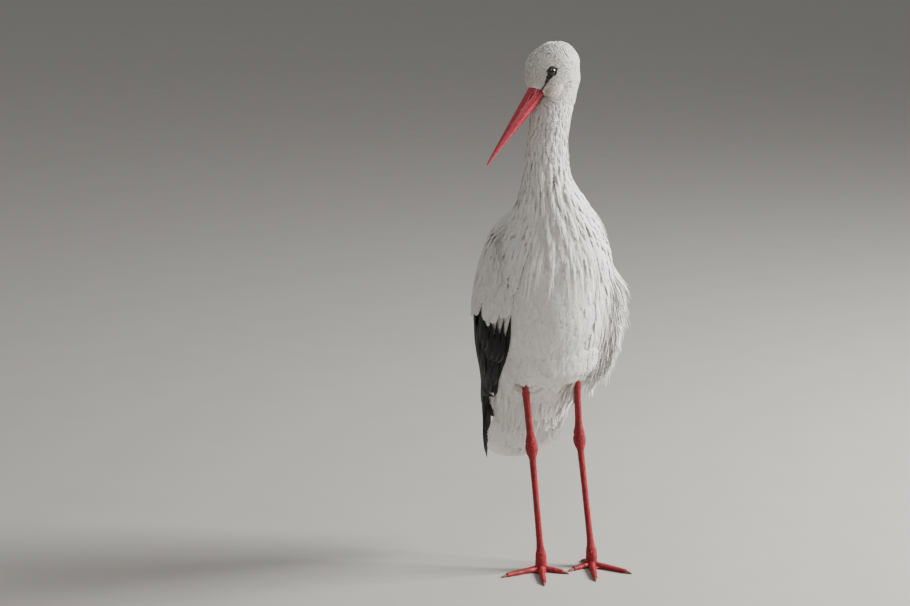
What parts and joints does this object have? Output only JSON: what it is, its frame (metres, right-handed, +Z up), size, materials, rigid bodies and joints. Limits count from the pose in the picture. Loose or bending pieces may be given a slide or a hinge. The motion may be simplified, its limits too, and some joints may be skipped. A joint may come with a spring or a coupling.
{
  "type": "white stork",
  "caption": "Life-size standing white stork with its head turned to its right: white plumage, black flight feathers, red bill and long red legs.",
  "frame": {"origin": "on the floor under the middle of the bird's box", "axes": "+Z up along the standing bird; -Y is the way the breast faces; +X is the bird's left"},
  "size_m": [0.2786, 0.2968, 0.9206],
  "materials": {
    "plumage": "soft matt white feathers",
    "flight_feathers": "black feathers with a faint gloss",
    "bill": "horn with a low sheen",
    "leg_skin": "scaly red skin",
    "eye": "wet gloss",
    "face_skin": "bare black skin round the eye",
    "claw": "worn horn"
  },
  "bodies": {
    "root": {"head": "plumage", "bill_upper": "bill", "bill_lower": "bill", "eye_left": "eye", "eye_right": "eye", "neck_upper": "plumage", "neck_lower": "plumage", "trunk": "plumage", "tail": "plumage", "wing_left": "plumage", "secondaries_left": "flight_feathers", "primaries_left": "flight_feathers", "thigh_left": "plumage", "tibia_left": "leg_skin", "tarsus_left": "leg_skin", "foot_left": "leg_skin", "claw_left_outer": "claw", "claw_left_middle": "claw", "claw_left_inner": "claw", "claw_left_hind": "claw", "wing_right": "plumage", "secondaries_right": "flight_feathers", "primaries_right": "flight_feathers", "thigh_right": "plumage", "tibia_right": "leg_skin", "tarsus_right": "leg_skin", "foot_right": "leg_skin", "claw_right_outer": "claw", "claw_right_middle": "claw", "claw_right_inner": "claw", "claw_right_hind": "claw", "flank_left": "plumage"}
  },
  "joints": []
}
